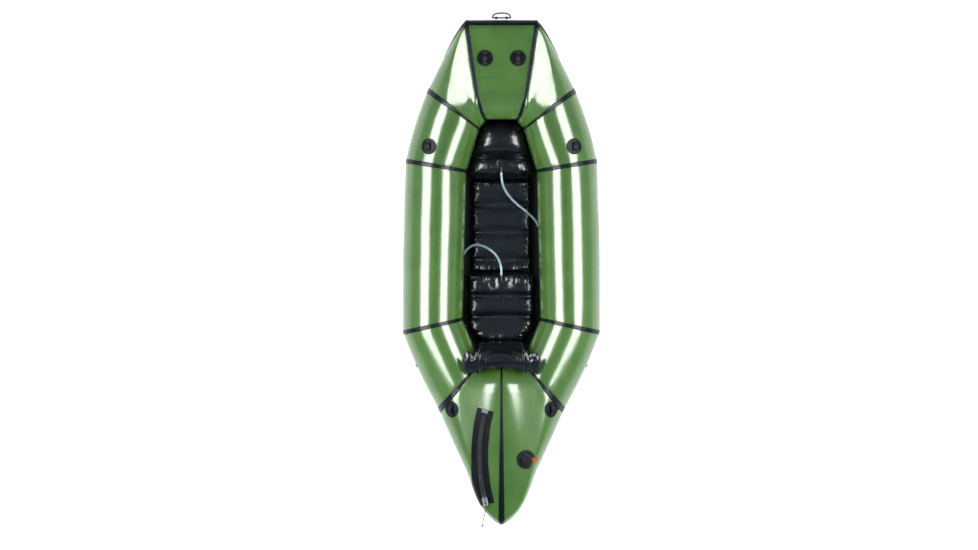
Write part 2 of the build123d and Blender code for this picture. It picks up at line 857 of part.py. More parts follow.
print("slider bail", bail.origin + zip_normal * (slider_high + bail_pin_rise), bail.x_dir, bail.z_dir)
print("slider travel degrees", arc_degrees - 2 * end_arc - slider_from - slider_arc)


# the pull ring hangs on a pin through the slider's bail
ring_origin = bail.origin + zip_normal * (slider_high + bail_pin_rise)
ring_flat = Plane(origin=ring_origin, x_dir=bail.z_dir * -1, z_dir=zip_normal)
half_ring = ring_width / 2
with BuildPart() as zip_ring:
    with BuildLine() as ring_path:
        FilletPolyline(
            *[ring_flat.from_local_coords(Vector(*point)) for point in
              ((0, half_ring), (ring_length, half_ring), (ring_length, -half_ring), (0, -half_ring))],
            close=True, radius=ring_wire)
    path = ring_path.wires()[0]
    with BuildSketch(Plane(origin=path @ 0, z_dir=path % 0)):
        Circle(ring_wire / 2)
    sweep(path=path)
save(zip_ring.part, "zip_pull_ring")


# ================================================================== cushions
def cockpit_outline(gap):
    """The cockpit seen from above, set in from the tubes by a gap."""
    side = [
        (bow_panel_half_width - gap, cockpit_front - gap),
        (quarter_half_width - gap, inner_y["quarter"]),
        (cockpit_half_width - front_narrowing - gap, inner_y["front"]),
        (cockpit_half_width - gap, inner_y["side"]),
        (rear_half_width - gap, cockpit_rear + gap),
    ]
    return side + [(-x, y) for x, y in reversed(side)]


brace_split = brace_rear + brace_rear_lobe
with BuildPart() as foot_brace:
    with BuildSketch(Plane.YZ):
        front_lobe = cockpit_front - brace_split
        front_centre = (cockpit_front + brace_split) / 2 - brace_lobe_shift
        rear_lobe = brace_rear_lobe + 2 * brace_lobe_shift
        with Locations((front_centre, (brace_front_base + brace_height) / 2)):
            RectangleRounded(front_lobe + brace_lobe_overlap, brace_height - brace_front_base, brace_front_round)
        with Locations((brace_rear + rear_lobe / 2, (brace_base + brace_rear_height) / 2)):
            RectangleRounded(rear_lobe, brace_rear_height - brace_base, brace_rear_round)
    extrude(amount=cockpit_half_width, both=True)
    with BuildSketch(Plane.XY):
        with BuildLine():
            Polyline(*cockpit_outline(soft_gap), close=True)
        make_face()
    extrude(amount=tube_diameter, mode=Mode.INTERSECT)
save(foot_brace.part, "foot_brace")

with BuildPart() as floor_mat:
    with BuildSketch(Plane.XY.offset(floor_fabric + tape_gap)):
        with Locations((0, mat_front - mat_length / 2)):
            RectangleRounded(2 * mat_half_width, mat_length, mat_corner)
    extrude(amount=mat_height)
    fillet(floor_mat.faces().sort_by(Axis.Z)[-1].edges(), mat_edge)
save(floor_mat.part, "floor_mat")

with BuildPart() as seat_cushion:
    with BuildSketch(Plane.XY.offset(floor_fabric + tape_gap)):
        with BuildLine():
            seat_side = [
                (seat_half_width, seat_front),
                (seat_half_width, seat_rear + seat_chamfer),
                (seat_half_width - seat_chamfer_width, seat_rear),
            ]
            Polyline(*seat_side, *[(-x, y) for x, y in reversed(seat_side)], close=True)
        make_face()
        fillet(vertices(), seat_corner)
    extrude(amount=seat_height)
    fillet(seat_cushion.faces().sort_by(Axis.Z)[-1].edges(), seat_edge)
save(seat_cushion.part, "seat_cushion")

# The backrest leans on the stern tube and tips forward about its rounded lower edge.
seat_top = floor_fabric + tape_gap + seat_height
hinge_z = seat_top + soft_gap + backrest_thickness / 2
stern_z = tube_height + stern_rise
lean_sin, lean_cos = sin(radians(backrest_lean)), cos(radians(backrest_lean))
standoff = tube_radius + tape_top + soft_gap + backrest_thickness / 2
hinge_y = cockpit_rear - tube_radius + (standoff - (hinge_z - stern_z) * lean_sin) / lean_cos
ear_thickness = backrest_thickness * ear_share
with BuildPart() as backrest:
    backrest_side = Plane(origin=(0, hinge_y, hinge_z), x_dir=(0, -lean_sin, lean_cos), z_dir=(1, 0, 0))
    with BuildSketch(backrest_side):
        with Locations((backrest_rise / 2, 0)):
            SlotCenterToCenter(backrest_rise, backrest_thickness)
    extrude(amount=backrest_half_width, both=True)
    with BuildSketch(backrest_side):
        with Locations((backrest_rise + backrest_thickness / 2 - backrest_ear_height / 2 - ear_drop, 0)):
            SlotOverall(backrest_ear_height, ear_thickness)
    extrude(amount=backrest_ear_half_width, both=True)
save(backrest.part, "backrest")
print("backrest hinge", hinge_y, hinge_z)


# ================================================================== elbow valves and hoses
def elbow_valve(base, name):
    """A welded base, an upright barrel and a level spigot; base is its plane, x along the spigot."""
    spigot_z = elbow_height - elbow_barrel / 2
    with BuildPart() as elbow:
        with BuildSketch(base):
            Circle(elbow_base / 2)
        extrude(amount=elbow_flange)
        with BuildSketch(base):
            Circle(elbow_barrel / 2)
        extrude(amount=elbow_height)
        fillet(elbow.faces().sort_by(Axis.Z)[-1].edges(), elbow_edge)
        with BuildSketch(Plane(origin=base.origin + Vector(0, 0, spigot_z), z_dir=base.x_dir)):
            Circle(hose_diameter / 2)
        extrude(amount=elbow_reach)
    save(elbow.part, name)
    return base.origin + Vector(0, 0, spigot_z) + base.x_dir * elbow_reach


def hose(points, diameter, name):
    """A tube along a hand-laid route, straight runs joined by arcs as large as they allow."""
    points = [Vector(*point) for point in points]
    radii = []
    for before, here, after in zip(points, points[1:], points[2:]):
        half_turn = radians((here - before).get_angle(after - here)) / 2
        shorter = min((here - before).length, (after - here).length)
        radii.append(0.45 * shorter / tan(half_turn))
    with BuildPart() as tube:
        with BuildLine() as route:
            FilletPolyline(*points, radius=radii)
        path = route.wires()[0]
        with BuildSketch(Plane(origin=path @ 0, z_dir=path % 0)):
            Circle(diameter / 2)
        sweep(path=path)
    section = pi * diameter**2 / 4
    print(name, "length", path.length, "smallest radius", min(radii), "volume share",
          tube.part.volume / section / path.length, "radii", [round(radius) for radius in radii])
    save(tube.part, name)
    return points


def mouthpiece(points, name):
    """A barrel pushed on the hose's end, and the nozzle that slides out of it."""
    way = (points[-1] - points[-2]).normalized()
    end = Plane(origin=points[-1], z_dir=way)
    with BuildPart() as barrel:
        with BuildSketch(end):
            Circle(mouthpiece_diameter / 2)
        extrude(amount=mouthpiece_length)
        fillet(barrel.edges(), mouthpiece_edge)
        with BuildSketch(end.offset(mouthpiece_length - nozzle_length)):
            Circle(nozzle_stem / 2 + nozzle_play)
        extrude(amount=nozzle_length, mode=Mode.SUBTRACT)
    save(barrel.part, f"{name}_mouthpiece")
    with BuildPart() as nozzle:
        with BuildSketch(end.offset(mouthpiece_length - nozzle_length + nozzle_gap)):
            Circle(nozzle_stem / 2)
        extrude(amount=nozzle_length)
        with BuildSketch(end.offset(mouthpiece_length + nozzle_lip_gap)):
            Circle(nozzle_lip / 2)
        extrude(amount=nozzle_lip_height)
    save(nozzle.part, f"{name}_nozzle")
    print(name, "nozzle", end.origin + way * mouthpiece_length, way)


brace_valve_plane = Plane(
    origin=(0, brace_rear + rear_lobe / 2, brace_rear_height + elbow_gap), x_dir=(0, -1, 0))
brace_exit = elbow_valve(brace_valve_plane, "brace_elbow_valve")
seat_valve_plane = Plane(
    origin=(0, seat_front - seat_edge - elbow_base / 2 - 1, seat_top + elbow_gap), x_dir=(0, 1, 0))
seat_exit = elbow_valve(seat_valve_plane, "seat_elbow_valve")
print("exits", brace_exit, seat_exit)

brace_hose_points = [
    (0, 475, 155.2), (0, 442, 155.2), (10, 406, 139), (30, 370, 101), (64, 334, 67), (107, 300, 55.5),
    (150, 264, 55), (177, 225, 38), (192, 182, 24),
]
seat_hose_points = [
    (0, -12.5, 97), (0, 20, 97), (-8, 54, 85), (-26, 86, 66), (-57, 112, 56), (-93, 130, 55.5),
    (-129, 134, 56), (-161, 116, 47), (-181, 90, 29), (-190, 61, 20),
]
mouthpiece(hose(brace_hose_points, hose_diameter, "brace_hose"), "brace")
mouthpiece(hose(seat_hose_points, hose_diameter, "seat_hose"), "seat")

# the cord tied to the zip's pull ring, with a stopper knot at its end
pull_cord_points = [
    (-72.6, -1101.8, 316.5), (-75, -1123, 315), (-80, -1146, 314.6), (-86, -1168, 313), (-90, -1191, 309.5),
]
knot_place = hose(pull_cord_points, cord_diameter, "zip_pull_cord")
with BuildPart() as knot:
    with Locations(knot_place[-1] + (knot_place[-1] - knot_place[-2]).normalized() * knot_diameter * knot_overlap):
        Sphere(knot_diameter / 2)
    with BuildSketch(Plane(origin=knot_place[-1], z_dir=knot_place[-1] - knot_place[-2])):
        Circle(cord_diameter / 2)
    extrude(amount=knot_tail)
save(knot.part, "pull_cord_knot")
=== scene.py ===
import bpy
import bmesh
import math
import numpy as np
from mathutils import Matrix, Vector, noise
from mathutils.bvhtree import BVHTree


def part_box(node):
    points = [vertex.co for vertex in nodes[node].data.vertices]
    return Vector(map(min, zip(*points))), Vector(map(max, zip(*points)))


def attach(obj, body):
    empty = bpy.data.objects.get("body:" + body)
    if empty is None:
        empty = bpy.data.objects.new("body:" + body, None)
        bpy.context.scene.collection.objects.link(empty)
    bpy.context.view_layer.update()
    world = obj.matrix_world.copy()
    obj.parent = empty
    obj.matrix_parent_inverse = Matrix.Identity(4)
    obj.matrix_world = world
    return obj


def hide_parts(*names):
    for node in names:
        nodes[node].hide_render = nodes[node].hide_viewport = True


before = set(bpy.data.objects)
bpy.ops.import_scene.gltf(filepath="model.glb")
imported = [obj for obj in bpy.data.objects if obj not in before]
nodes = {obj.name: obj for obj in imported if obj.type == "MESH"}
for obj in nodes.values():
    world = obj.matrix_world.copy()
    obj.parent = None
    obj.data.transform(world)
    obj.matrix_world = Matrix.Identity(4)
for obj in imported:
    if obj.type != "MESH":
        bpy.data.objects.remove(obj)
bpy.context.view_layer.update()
print("frame loaded")

# camera, looking straight down with the bow away
view = dict(height=40.0, span=4.636, aimX=-0.059, aimY=-0.011, subject=0.16)


def makeCamera():
    camera = bpy.data.cameras.new("camera")
    camera.sensor_width = 36
    camera.lens = 36 * (view["height"] - view["subject"]) / view["span"]
    camera.clip_end = 100
    body = bpy.data.objects.new("camera", camera)
    body.location = (view["aimX"], view["aimY"], view["height"])
    bpy.context.scene.collection.objects.link(body)
    bpy.context.scene.camera = body


makeCamera()


# materials
def toLinear(hexColour):
    channels = [int(hexColour[i:i + 2], 16) / 255 for i in (1, 3, 5)]
    return [c / 12.92 if c <= 0.04045 else ((c + 0.055) / 1.055) ** 2.4 for c in channels] + [1]


def addNode(tree, kind, settings=None, links=None):
    node = tree.nodes.new(kind)
    for key, value in (settings or {}).items():
        if key in node.inputs:
            node.inputs[key].default_value = value
        else:
            setattr(node, key, value)
    for key, socket in (links or {}).items():
        tree.links.new(socket, node.inputs[key])
    return node


def startMaterial(name, look):
    material = bpy.data.materials.new(name)
    material.use_nodes = True
    tree = material.node_tree
    shader = tree.nodes["Principled BSDF"]
    for key, value in look.items():
        shader.inputs[key].default_value = value
    return material, tree, shader


def perMetre(millimetres):
    return 1000 / millimetres


def waveScale(millimetres):
    # the wave texture draws one band for about every 0.32 / scale
    return perMetre(millimetres) / 6.28 * 2


def bumped(tree, shader, texture, strength, distance):
    bump = addNode(tree, "ShaderNodeBump", {"Strength": strength, "Distance": distance},
                   {"Height": texture.outputs["Fac"]})
    tree.links.new(bump.outputs["Normal"], shader.inputs["Normal"])


def mottle(tree, shader, where, light, dark, patch, low=0.35, high=0.65):
    cloud = addNode(tree, "ShaderNodeTexNoise", {"Scale": perMetre(patch), "Detail": 4},
                    {"Vector": where.outputs["Object"]})
    ramp = addNode(tree, "ShaderNodeValToRGB", links={"Fac": cloud.outputs["Fac"]})
    ramp.color_ramp.elements[0].position = low
    ramp.color_ramp.elements[1].position = high
    ramp.color_ramp.elements[0].color = toLinear(dark)
    ramp.color_ramp.elements[1].color = toLinear(light)
    tree.links.new(ramp.outputs["Color"], shader.inputs["Base Color"])


def coatedNylon(name, light, dark, look, patch=120, ripple=26, rippleDepth=0.25, grain=3.0, grainDepth=0.06):
    material, tree, shader = startMaterial(name, look)
    where = addNode(tree, "ShaderNodeTexCoord")
    mottle(tree, shader, where, light, dark, patch)
    # soft ripples of the taut cloth, then the cloth's own grain drawn coarse enough to see
    wave = addNode(tree, "ShaderNodeTexNoise", {"Scale": perMetre(ripple), "Detail": 3, "Roughness": 0.55},
                   {"Vector": where.outputs["Object"]})
    weave = addNode(tree, "ShaderNodeTexVoronoi", {"Scale": perMetre(grain)}, {"Vector": where.outputs["Object"]})
    first = addNode(tree, "ShaderNodeBump", {"Strength": rippleDepth, "Distance": 0.004},
                    {"Height": wave.outputs["Fac"]})
    second = addNode(tree, "ShaderNodeBump", {"Strength": grainDepth, "Distance": 0.0006},
                     {"Height": weave.outputs["Distance"], "Normal": first.outputs["Normal"]})
    tree.links.new(second.outputs["Normal"], shader.inputs["Normal"])
    return material


# woven nylon with a polyurethane film on the outside: even colour, soft wide gloss
hullNylon = coatedNylon("coatedNylonGreen", "#587F38", "#4E7331", {
    "Roughness": 0.22, "IOR": 1.5, "Coat Weight": 0.5, "Coat Roughness": 0.12}, rippleDepth=0.12, grainDepth=0.03)
# the same film on black cloth, welded on as tape: a shade duller, with a blue cast
tapeNylon = coatedNylon("coatedNylonTape", "#141D22", "#0C1317", {
    "Roughness": 0.27, "IOR": 1.45, "Specular IOR Level": 0.22}, patch=60, ripple=14)
# thin black nylon of the cushions, film outward: sharper gloss over small creases
cushionNylon = coatedNylon("coatedNylonCushion", "#0B1116", "#06090C", {
    "Roughness": 0.22, "IOR": 1.5}, patch=90, ripple=18, rippleDepth=0.3)
# heavy floor cloth, film on both faces, scuffed a little
floorNylon = coatedNylon("coatedNylonFloor", "#10161A", "#090D10", {
    "Roughness": 0.34, "IOR": 1.45, "Specular IOR Level": 0.12}, patch=50, ripple=40, rippleDepth=0.15)
# moulded polyurethane patches, smooth from the tool
patchUrethane = coatedNylon("mouldedUrethanePatch", "#0E1316", "#080B0D", {
    "Roughness": 0.4, "IOR": 1.5, "Specular IOR Level": 0.1}, patch=30, ripple=9, rippleDepth=0.08)


def wovenPolyester(name, light, dark, rib):
    material, tree, shader = startMaterial(name, {"Roughness": 0.6, "IOR": 1.5, "Specular IOR Level": 0.2})
    where = addNode(tree, "ShaderNodeTexCoord")
    mottle(tree, shader, where, light, dark, 6)
    ribs = addNode(tree, "ShaderNodeTexWave", {"Scale": waveScale(rib), "bands_direction": "DIAGONAL"},
                   {"Vector": where.outputs["Object"]})
    bumped(tree, shader, ribs, 0.5, 0.0006)
    return material


def mouldedPlastic(name, light, dark, look):
    material, tree, shader = startMaterial(name, look)
    where = addNode(tree, "ShaderNodeTexCoord")
    mottle(tree, shader, where, light, dark, 9)
    grain = addNode(tree, "ShaderNodeTexNoise", {"Scale": perMetre(1.2), "Detail": 2},
                    {"Vector": where.outputs["Object"]})
    bumped(tree, shader, grain, 0.12, 0.0004)
    return material


# woven strap and braided cord, dull and ribbed; ribs drawn at twice their real 2 and 1.6 mm so that they show
webbingPolyester = wovenPolyester("wovenPolyester", "#14181B", "#0B0E10", 4.0)
cordPolyester = wovenPolyester("braidedPolyester", "#2A3035", "#14181B", 3.2)
# nylon mouldings straight from a spark-eroded tool: even low gloss
blackMoulding = mouldedPlastic("mouldedNylonBlack", "#121517", "#0A0C0D", {
    "Roughness": 0.3, "IOR": 1.53, "Specular IOR Level": 0.25})
# soft moulded polyurethane: the tether's ring is dyed black and its pull tab orange
tether = dict(centre=(0.115, -0.8825, 0.311), ringEnd=0.0305, tabStart=0.0320)
tetherUrethane, tetherTree, tetherShader = startMaterial("mouldedUrethaneTether", {
    "Roughness": 0.4, "IOR": 1.5, "Specular IOR Level": 0.2})
tetherWhere = addNode(tetherTree, "ShaderNodeTexCoord")
tetherAway = addNode(tetherTree, "ShaderNodeVectorMath", {"operation": "DISTANCE"},
                     {0: tetherWhere.outputs["Object"]})
tetherAway.inputs[1].default_value = tether["centre"]
tetherRamp = addNode(tetherTree, "ShaderNodeValToRGB", links={"Fac": tetherAway.outputs["Value"]})
tetherRamp.color_ramp.elements[0].position = tether["ringEnd"]
tetherRamp.color_ramp.elements[0].color = toLinear("#0C0E10")
tetherRamp.color_ramp.elements[1].position = tether["tabStart"]
tetherRamp.color_ramp.elements[1].color = toLinear("#E0641E")
tetherTree.links.new(tetherRamp.outputs["Color"], tetherShader.inputs["Base Color"])
tetherGrain = addNode(tetherTree, "ShaderNodeTexNoise", {"Scale": perMetre(2)},
                      {"Vector": tetherWhere.outputs["Object"]})
bumped(tetherTree, tetherShader, tetherGrain, 0.15, 0.0005)
# moulded zip teeth, shiny on their tops, drawn at twice their real 2.5 mm pitch so that they show
zipTeeth, teethTree, teethShader = startMaterial("mouldedAcetalTeeth", {
    "Roughness": 0.26, "IOR": 1.48, "Specular IOR Level": 0.5})
teethWhere = addNode(teethTree, "ShaderNodeTexCoord")
mottle(teethTree, teethShader, teethWhere, "#10161A", "#0A0E11", 20)
teethRibs = addNode(teethTree, "ShaderNodeTexWave", {"Scale": waveScale(5), "bands_direction": "Y"},
                    {"Vector": teethWhere.outputs["Object"]})
bumped(teethTree, teethShader, teethRibs, 0.8, 0.0012)
# extruded clear tube: milky and faintly blue, darker where it lies on black
clearTube = mouldedPlastic("extrudedClearUrethane", "#CFE4EC", "#B4D2DE", {
    "Roughness": 0.18, "IOR": 1.5, "Transmission Weight": 0.45, "Coat Weight": 0.3})
# cast zinc, nickel plated and tumbled, and bright drawn wire
platedZinc = mouldedPlastic("platedZinc", "#C9CCCE", "#A9ADB0", {"Roughness": 0.28, "Metallic": 1.0})
springWire = mouldedPlastic("drawnSpringSteel", "#B5B8BA", "#8F9396", {"Roughness": 0.3, "Metallic": 1.0})
print("materials made")


def dress(names, material):
    for name in names:
        slots = nodes[name].data.materials
        slots.clear()
        slots.append(material)


def finishPiece(name, mesh, material, body, replaced=()):
    piece = bpy.data.objects.new(name, mesh)
    bpy.context.scene.collection.objects.link(piece)
    mesh.materials.clear()
    mesh.materials.append(material)
    mesh.polygons.foreach_set("use_smooth", [True] * len(mesh.polygons))
    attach(piece, body)
    if replaced:
        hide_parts(*replaced)
    return piece


def meshFrom(name, points, faces):
    mesh = bpy.data.meshes.new(name)
    mesh.from_pydata([tuple(p) for p in points], [], faces)
    mesh.update()
    return mesh


# hoses and the pull cord, along the same routes as the frame's tubes
hoses = dict(
    braceHose=dict(
        route=[(0, 0.475, 0.1552), (0, 0.442, 0.1552), (0.010, 0.406, 0.139), (0.030, 0.370, 0.101),
               (0.064, 0.334, 0.067), (0.107, 0.300, 0.0555), (0.150, 0.264, 0.055), (0.177, 0.225, 0.038),
               (0.192, 0.182, 0.024)],
        length=0.397, diameter=0.011, node="brace_hose", ends=("brace_mouthpiece", "brace_nozzle")),
    seatHose=dict(
        route=[(0, -0.0125, 0.097), (0, 0.020, 0.097), (-0.008, 0.054, 0.085), (-0.026, 0.086, 0.066),
               (-0.057, 0.112, 0.056), (-0.093, 0.130, 0.0555), (-0.129, 0.134, 0.056),
               (-0.161, 0.116, 0.047), (-0.181, 0.090, 0.029), (-0.190, 0.061, 0.020)],
        length=0.332, diameter=0.011, node="seat_hose", ends=("seat_mouthpiece", "seat_nozzle")))
pullCord = dict(
    route=[(-0.0726, -1.1018, 0.3165), (-0.075, -1.123, 0.315), (-0.080, -1.146, 0.3146),
           (-0.086, -1.168, 0.313), (-0.090, -1.191, 0.3095)],
    length=0.0913, diameter=0.0032)


def cordCurve(name, route, diameter, material):
    curve = bpy.data.curves.new(name, "CURVE")
    curve.dimensions = "3D"
    spline = curve.splines.new("NURBS")
    spline.points.add(len(route) - 1)
    for point, place in zip(spline.points, route):
        point.co = (*place, 1)
    spline.order_u = 3
    spline.use_endpoint_u = True
    spline.resolution_u = 10
    curve.bevel_depth = diameter / 2
    curve.bevel_resolution = 5
    curve.use_fill_caps = True
    curve.materials.append(material)
    piece = bpy.data.objects.new(name, curve)
    bpy.context.scene.collection.objects.link(piece)
    return piece


for name, hose in hoses.items():
    piece = cordCurve(name, hose["route"], hose["diameter"], clearTube)
    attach(piece, "hull")
    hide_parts(hose["node"])
piece = cordCurve("zipPullCord", pullCord["route"], pullCord["diameter"], cordPolyester)
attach(piece, "pull")
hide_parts("zip_pull_cord")
print("cords laid")

# hull: the frame's stations again, in metres
hull = dict(
    crowned=("bow_quarter_left", "bow_quarter_right"), crown=0.011,
    tubeRadius=0.144, lift=0.0033, cockpitHalfWidth=0.184, cockpitLength=1.151, bowLength=0.468,
    sternLength=0.766, bowTip=0.040, sternTip=0.036, bulge=0.009, tapeWidth=0.020,
    rows=0.010, around=(40, 56, 26, 60))
puckers = dict(depth=0.0011, reach=0.034, pinch=0.0016, pinchReach=0.013, swell=0.0012,
               tailFrom=-0.99, tailPitch=0.024, tailDepth=0.0016, tailFade=0.06,
               calmest=0.35, calmGrain=9, coarse=33, fine=62, coarseShare=0.6, gain=2.2)

halfLength = (hull["cockpitLength"] + hull["bowLength"] + hull["sternLength"]) / 2
cockpitFront = halfLength - hull["bowLength"]
cockpitRear = hull["sternLength"] - halfLength
tubeRadius = hull["tubeRadius"]
tubeHeight = tubeRadius + hull["lift"]
tubeRadii = (tubeRadius, tubeRadius)


def station(inner, outer, heights, radii, lean=0.0):
    return np.array([*inner, *outer, *heights, *radii, lean])


def reachStation(inner, heading, reach, heights, radii, lean=0.0):
    turn = math.radians(heading)
    outer = (inner[0] + reach * math.cos(turn), inner[1] + reach * math.sin(turn))
    return station(inner, outer, heights, radii, lean)


def between(first, second, share, bulge):
    one = first * (1 - share) + second * share
    out = one[2:4] - one[0:2]
    one[2:4] += out / np.linalg.norm(out) * bulge * 4 * share * (1 - share)
    return one


def mirrored(one):
    flip = one.copy()
    flip[[0, 2, 8]] *= -1
    return flip


bowSeam = reachStation((0.070, cockpitFront), 80.4, hull["bowLength"] / math.sin(math.radians(80.4)),
                       (tubeHeight + 0.089, tubeHeight + 0.184), (tubeRadius, hull["bowTip"]), 11)
bowCorner = reachStation((0.084, cockpitFront - 0.018), 79, hull["bowLength"] + 0.004,
                         (tubeHeight + 0.083, tubeHeight + 0.176), (tubeRadius, hull["bowTip"]), 7.7)
quarterSeam = reachStation((0.104, cockpitFront - 0.042), 35.9, 0.305, [tubeHeight + 0.024] * 2, tubeRadii)
frontSeam = reachStation((0.167, cockpitFront - 0.243), 9.2, 0.290, [tubeHeight] * 2, tubeRadii)
sideSeam = reachStation((0.184, cockpitRear + 0.205), -12.2, 0.290, [tubeHeight] * 2, tubeRadii)
rearSeam = reachStation((0.0995, cockpitRear), -48.3, 0.297, [tubeHeight + 0.014] * 2, tubeRadii)
sternSeam = station((0, cockpitRear), (0, -halfLength), (tubeHeight + 0.044, tubeHeight + 0.120),
                    (tubeRadius, hull["sternTip"]))
tail = station((0.014, cockpitRear), (0.060, -halfLength + 0.044),
               (tubeHeight + 0.042, tubeHeight + 0.116), (tubeRadius, hull["sternTip"]))
bulge = hull["bulge"]
panels = dict(
    bow_quarter=[quarterSeam, between(quarterSeam, bowCorner, 0.5, bulge), bowCorner, bowSeam],
    front_panel=[frontSeam, between(frontSeam, quarterSeam, 0.5, bulge), quarterSeam],
    side_panel=[sideSeam, between(sideSeam, frontSeam, 0.5, bulge * 0.6), frontSeam],
    rear_panel=[rearSeam, between(rearSeam, sideSeam, 0.5, bulge), sideSeam],
    stern_panel=[sternSeam, tail, between(tail, rearSeam, 0.5, bulge), rearSeam])


def outline(one, a):
    inner, outer = one[0:2], one[2:4]
    reach = np.linalg.norm(outer - inner)
    along = np.array([*(outer - inner) / reach, 0])
    side = np.array([along[1], -along[0], 0])
    lean = math.radians(one[8])
    up = np.array([0, 0, 1]) * math.cos(lean) + side * math.sin(lean)
    r1, r2 = one[6], one[7]
    rise = (one[5] - one[4]) / math.cos(lean)
    c1, c2 = np.array([r1, 0]), np.array([reach - r2, rise])
    span = c2 - c1
    tilt = math.atan2(span[1], span[0])
    turn = math.acos((r1 - r2) / np.linalg.norm(span))

    def at(centre, radius, angle):
        return centre + radius * np.stack([np.cos(angle), np.sin(angle)], -1)

    f = (a % 1)[:, None]
    edge = np.floor(a).astype(int)[:, None] % 4
    topRun = at(c1, r1, np.array([tilt + turn])) * (1 - f) + at(c2, r2, np.array([tilt + turn])) * f
    outerArc = at(c2, r2, tilt + turn - 2 * turn * f[:, 0])
    lowRun = at(c2, r2, np.array([tilt - turn])) * (1 - f) + at(c1, r1, np.array([tilt - turn])) * f
    innerArc = at(c1, r1, tilt - turn - (2 * math.pi - 2 * turn) * f[:, 0])
    flat = np.where(edge == 0, topRun, np.where(edge == 1, outerArc, np.where(edge == 2, lowRun, innerArc)))
    origin = np.array([*inner, one[4]])
    return origin + flat[:, :1] * along + flat[:, 1:] * up


class Panel:
    def __init__(self, name, stations):
        self.name = name
        self.stations = stations
        middles = np.array([[*(one[0:2] + one[2:4]) / 2, one[4:6].mean()] for one in stations])
        steps = np.linalg.norm(np.diff(middles, axis=0), axis=1)
        self.length = steps.sum()
        self.marks = np.concatenate([[0], np.cumsum(steps)]) / self.length
        self.narrow = min(np.linalg.norm(one[2:4] - one[0:2]) - one[6] - one[7] for one in stations) < 0.03

    def base(self, v, a):
        rings = np.array([outline(one, a) for one in self.stations])
        marks = self.marks
        slopes = np.zeros_like(rings)
        for i in range(1, len(marks) - 1):
            before, after = marks[i] - marks[i - 1], marks[i + 1] - marks[i]
            slopes[i] = ((rings[i] - rings[i - 1]) / before * after
                         + (rings[i + 1] - rings[i]) / after * before) / (before + after)
        if len(marks) > 2:
            slopes[0] = 2 * (rings[1] - rings[0]) / (marks[1] - marks[0]) - slopes[1]
            slopes[-1] = 2 * (rings[-1] - rings[-2]) / (marks[-1] - marks[-2]) - slopes[-2]
        else:
            slopes[0] = slopes[1] = rings[1] - rings[0]
        out = np.empty((len(v), len(a), 3))
        for row, where in enumerate(v):
            i = min(max(np.searchsorted(marks, where) - 1, 0), len(marks) - 2)
            h = marks[i + 1] - marks[i]
            t = (where - marks[i]) / h
            out[row] = ((2 * t**3 - 3 * t**2 + 1) * rings[i] + (t**3 - 2 * t**2 + t) * h * slopes[i]
                        + (3 * t**2 - 2 * t**3) * rings[i + 1] + (t**3 - t**2) * h * slopes[i + 1])
        return out

    def surface(self, v, a, lift=0.0):
        v, a = np.asarray(v, float), np.asarray(a, float)
        points = self.base(v, a)
        step = 0.002
        alongV = self.base(np.clip(v + step, 0, 1), a) - self.base(np.clip(v - step, 0, 1), a)
        # a run only a few millimetres wide takes its slope from the arcs on both sides of it
        edge = np.floor(a)
        narrow = self.narrow & (edge % 2 == 0)
        alongA = (self.base(v, np.where(narrow, edge + 1.03, a + 0.01))
                  - self.base(v, np.where(narrow, edge - 0.03, a - 0.01)))
        normals = np.cross(alongA, alongV)
        normals /= np.maximum(np.linalg.norm(normals, axis=2, keepdims=True), 1e-9)
        centre = points.mean(axis=1, keepdims=True)
        flip = np.sign((normals * (points - centre)).sum(axis=(1, 2)))[:, None, None]
        normals = normals * flip
        shift = np.full(points.shape[:2], lift)
        for end, seamV in ((0, 0.0), (-1, 1.0)):
            gap = np.abs(v - seamV) * self.length
            ring = outline(self.stations[end], a)
            wave = np.array([seamWave(p) for p in ring])
            fade = np.exp(-gap / puckers["reach"])
            pinch = np.exp(-((gap / puckers["pinchReach"]) ** 2))
            shift += fade[:, None] * wave[None, :] - puckers["pinch"] * pinch[:, None]
        swell = np.array([[noise.noise(Vector(p) * 7.0) for p in row] for row in points])
        shift += swell * puckers["swell"]
        if self.name in hull["crowned"]:
            away = np.minimum(1, np.abs((a + 1.5) % 4 - 2))
            shift += hull["crown"] * np.sin(np.pi * v)[:, None] * np.cos(away * np.pi / 2)[None, :] ** 2
        return points + normals * shift[..., None]


def seamWave(p):
    place = Vector(p)
    if abs(p[0]) < 0.001 and p[1] < puckers["tailFrom"]:
        rise = min(1, (puckers["tailFrom"] - p[1]) / puckers["tailFade"])
        return puckers["tailDepth"] * rise * math.cos(p[1] * 2 * math.pi / puckers["tailPitch"])
    calm = puckers["calmest"] + 0.65 * abs(noise.noise(place * puckers["calmGrain"] + Vector((3.1, 0, 0))))
    creases = noise.noise(place * puckers["fine"]) + puckers["coarseShare"] * noise.noise(place * puckers["coarse"])
    return puckers["depth"] * creases * calm * puckers["gain"]


def columns(narrow):
    parts = []
    for i, n in enumerate(hull["around"]):
        if narrow and i % 2 == 0:
            parts.append(np.array([i + 0.5]))
        else:
            steps = np.linspace(0, 1, n + 2 * narrow, endpoint=False)
            parts.append(i + (steps[1:] if narrow else steps))
    return np.concatenate(parts)


allPanels = {"bow_centre_panel": Panel("bow_centre_panel", [mirrored(bowSeam), bowSeam])}
for name, stations in panels.items():
    allPanels[f"{name}_right"] = Panel(f"{name}_right", stations)
    allPanels[f"{name}_left"] = Panel(f"{name}_left", [mirrored(one) for one in stations])


def gridFaces(rows, columns, closed, start=0):
    faces = []
    for r in range(rows - 1):
        for c in range(columns if closed else columns - 1):
            d = (c + 1) % columns
            faces.append((start + r * columns + c, start + r * columns + d,
                          start + (r + 1) * columns + d, start + (r + 1) * columns + c))
    return faces


